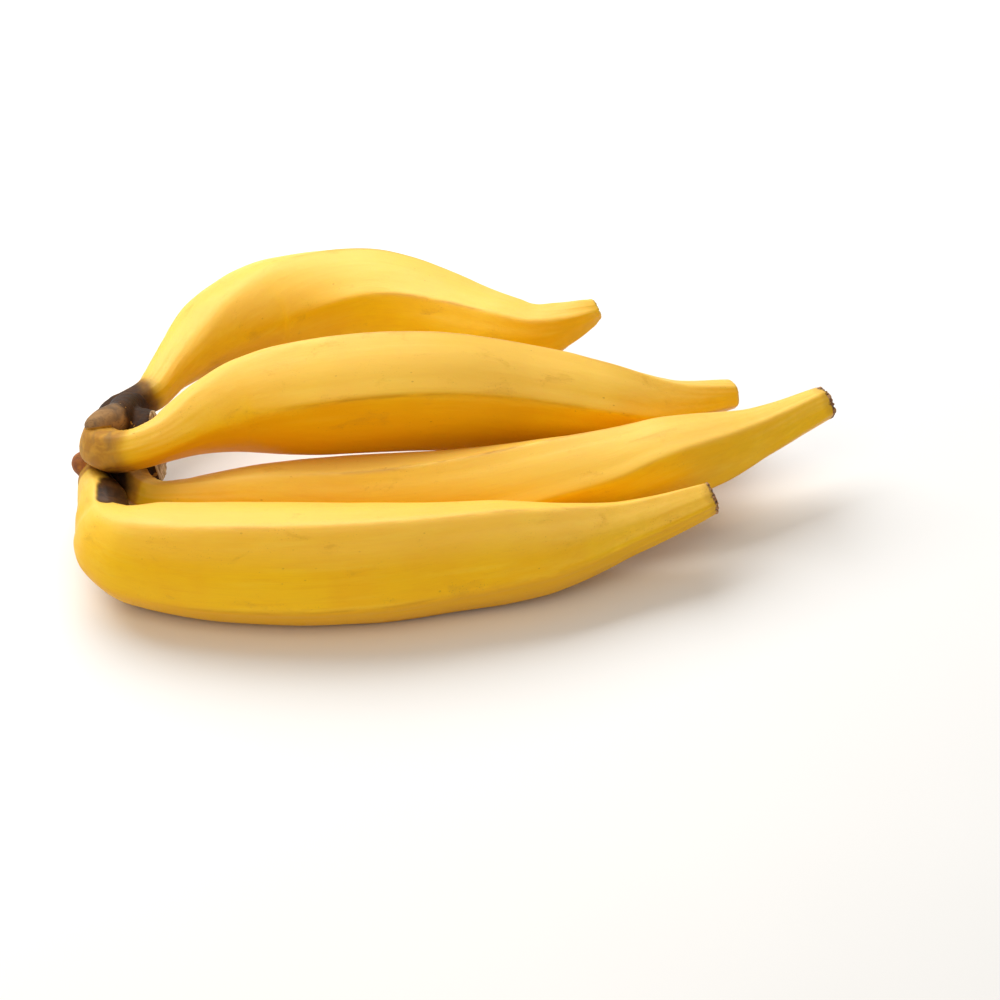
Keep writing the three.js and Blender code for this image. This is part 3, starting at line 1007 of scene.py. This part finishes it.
def stem_material():
    """Dark, scuffed stem skin with a pale fibrous cut, its darkness partly painted shade."""
    s = Shader("stem")
    place = object_place(s)
    cut, bark, fibre = (s.attribute(n) for n in ("cut", "bark", "fibre"))
    tongue, knuckle = s.attribute("tongue"), s.attribute("knuckle")
    patches = s.noise(place, 0.16, 4.0, 0.6, 0.6)
    colour = dark_skin_and_shade(s)
    tan = s.mix(s.rise(patches, 0.36, 0.64), srgb(124, 98, 72), srgb(168, 128, 82))
    colour = s.mix(tongue, colour, tan)
    red = s.mix(s.rise(patches, 0.36, 0.64), srgb(150, 88, 50), srgb(190, 122, 52))
    colour = s.mix(knuckle, colour, red)
    grain = s.noise(s.scaled(place, 0.35, 1.0, 1.0), 1.1, 4.0, 0.65, 0.4)
    colour = s.mix(s.rise(grain, 0.52, 0.74, 0.0, 0.6), colour, srgb(44, 28, 18))
    scuff = s.noise(s.scaled(place, 0.6, 1.0, 1.4), 0.55, 5.0, 0.7, 0.8)
    colour = s.mix(s.rise(scuff, 0.62, 0.78, 0.0, 0.22), colour, srgb(134, 104, 68))
    # Painted shade: darker where the bark sinks in.
    colour = s.mix(s.rise(bark, 0.15, -0.35, 0.0, 0.55), colour, srgb(36, 22, 14))
    # Where a sleeve thins out on a peel: the crown's tan skin, or dark brown that is stem skin
    # and painted shade.
    thin = s.mix(s.attribute("dark"), crown_skin(s), dark_skin_and_shade(s))
    fibrous = s.noise(s.scaled(place, 1.0, 1.0, 0.10), 1.5, 4.0, 0.6, 0.2)
    pale = s.mix(s.rise(fibrous, 0.38, 0.66), srgb(150, 118, 78), srgb(232, 214, 176))
    # Painted shade: browner between the raised fibres of the cut, where they sink in.
    pale = s.mix(s.rise(fibre, 0.1, -0.7, 0.0, 0.7), pale, srgb(128, 92, 54))
    colour = s.mix(s.rise(s.attribute("cover"), 1.1, 0.35), colour, thin)
    colour = s.mix(s.rise(cut, 0.35, 0.85), colour, pale)
    height = s.math("ADD", s.math("MULTIPLY", grain, 0.9), s.math("MULTIPLY", scuff, 0.5))
    height = s.math("ADD", height, s.times(fibrous, cut, 0.8))
    roughness = s.rise(patches, 0.3, 0.7, 0.58, 0.78)
    s.set(Base_Color=colour, Roughness=roughness, Normal=s.bump(height, 0.6, 0.4 * MM))
    s.set(Specular_IOR_Level=0.20)
    return s.material


def scar_material():
    """The dried flower scar: black-brown crust with tan torn edges."""
    s = Shader("scar")
    place = s.attribute("straight", vector=True)
    rim, fold = s.attribute("rim"), s.attribute("fold")
    patches = s.noise(place, 1.3, 4.0, 0.65, 0.5)
    colour = s.mix(s.rise(patches, 0.40, 0.60), srgb(110, 70, 44), srgb(196, 146, 104))
    colour = s.mix(s.times(rim, s.rise(patches, 0.4, 0.6, 0.1, 0.6)), colour, srgb(178, 140, 90))
    # Black-brown in the folds: the crust's own dark colour, deepened there as painted shade.
    colour = s.mix(s.rise(fold, 0.05, -0.4, 0.0, 0.9), colour, srgb(52, 28, 20))
    grain = s.noise(place, 5.0, 4.0, 0.6)
    colour = s.mix(s.rise(grain, 0.5, 0.75, 0.0, 0.4), colour, srgb(140, 108, 72))
    fresh = s.mix(s.rise(patches, 0.35, 0.65), srgb(186, 150, 70), srgb(216, 180, 92))
    colour = s.mix(s.rise(s.attribute("age"), 0.6, 0.1, 0.0, 0.9), colour, fresh)
    height = s.math("ADD", grain, patches)
    roughness = s.rise(patches, 0.3, 0.7, 0.62, 0.85)
    s.set(Base_Color=colour, Roughness=roughness, Normal=s.bump(height, 0.7, 0.3 * MM))
    s.set(Specular_IOR_Level=0.3)
    return s.material


def table_material():
    """Matt white tabletop with a very faint variation."""
    s = Shader("table")
    place = s.node("ShaderNodeTexCoord").outputs["Object"]
    cloud = s.noise(place, 3.0, 3.0, 0.5)
    colour = s.mix(s.rise(cloud, 0.3, 0.7), srgb(240, 240, 239), srgb(244, 244, 243))
    s.set(Base_Color=colour, Roughness=s.rise(cloud, 0.3, 0.7, 0.6, 0.7))
    s.set(Specular_IOR_Level=0.2)
    return s.material


# ---------------------------------------------------------------- the stage

TABLE_SIZE = 6.0
# Each softbox: its place, its width and height, and its watts.
KEY = ((-0.38, 0.58, 0.85), (1.3, 0.8), 15.0)
FRONT_FILL = ((-0.3, -1.0, 1.3), (1.0, 0.7), 6.5)
FILL_COLOUR = (1.0, 0.84, 0.58)
STUDIO_STRENGTH = 0.42


def softbox(name, target, place, size, watts):
    """A large soft lamp that faces the target."""
    light = bpy.data.lights.new(name, "AREA")
    light.shape = "RECTANGLE"
    light.size, light.size_y = size
    light.energy = watts
    made = bpy.data.objects.new(name, light)
    made.location = place
    made.rotation_euler = (target - Vector(place)).to_track_quat("-Z", "Y").to_euler()
    bpy.context.scene.collection.objects.link(made)
    return made


def set_stage():
    """The table, the camera and the soft studio light."""
    low, high = CAD_BOX
    size = high - low
    aim = Vector(low[i] + AIM[i] * size[i] for i in range(3))
    half = TABLE_SIZE / 2
    table = bpy.data.meshes.new("table")
    corners = [(-half, -half), (half, -half), (half, half), (-half, half)]
    table.from_pydata([(x, y, low.z) for x, y in corners], [], [(0, 1, 2, 3)])
    floor = shown("table", table)
    table.materials.append(table_material())

    camera = bpy.data.cameras.new("camera")
    camera.lens = CAMERA_LENS
    camera.clip_end = 20
    eye = bpy.data.objects.new("camera", camera)
    back = Vector((0.0, -math.cos(CAMERA_ELEVATION), math.sin(CAMERA_ELEVATION)))
    eye.location = aim + back * CAMERA_DISTANCE
    eye.rotation_euler = (-back).to_track_quat("-Z", "Y").to_euler()
    bpy.context.scene.collection.objects.link(eye)
    bpy.context.scene.camera = eye

    centre = (low + high) / 2
    softbox("key", centre, *KEY)
    fill = softbox("front_fill", centre, *FRONT_FILL)
    fill.data.color = FILL_COLOUR
    fill.visible_glossy = False

    world = bpy.data.worlds.new("studio")
    world.use_nodes = True
    background = world.node_tree.nodes["Background"]
    background.inputs["Color"].default_value = srgb(250, 251, 255)
    background.inputs["Strength"].default_value = STUDIO_STRENGTH
    bpy.context.scene.world = world
    bpy.context.scene.view_settings.view_transform = "Standard"


# ---------------------------------------------------------------- the object

set_stage()
peel_look, stem_look, scar_look = peel_material(), stem_material(), scar_material()

stem = crown(CROWN_SEED, [smooth_skin(fruit) for fruit in FRUITS])
stem.data.materials.append(stem_look)
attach(stem, "root")
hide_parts("crown")
stem_tree = tree_of(stem.data)

for number, fruit in enumerate(FRUITS):
    made, skin = peel(fruit, PEEL_SEED + SEED_STEP * number, stem_tree)
    made.data.materials.append(peel_look)
    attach(made, "root")
    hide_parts("banana_" + fruit)
    scar = tip_scar(fruit, skin, SCAR_SEED + SEED_STEP * number)
    scar.data.materials.append(scar_look)
    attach(scar, "root")
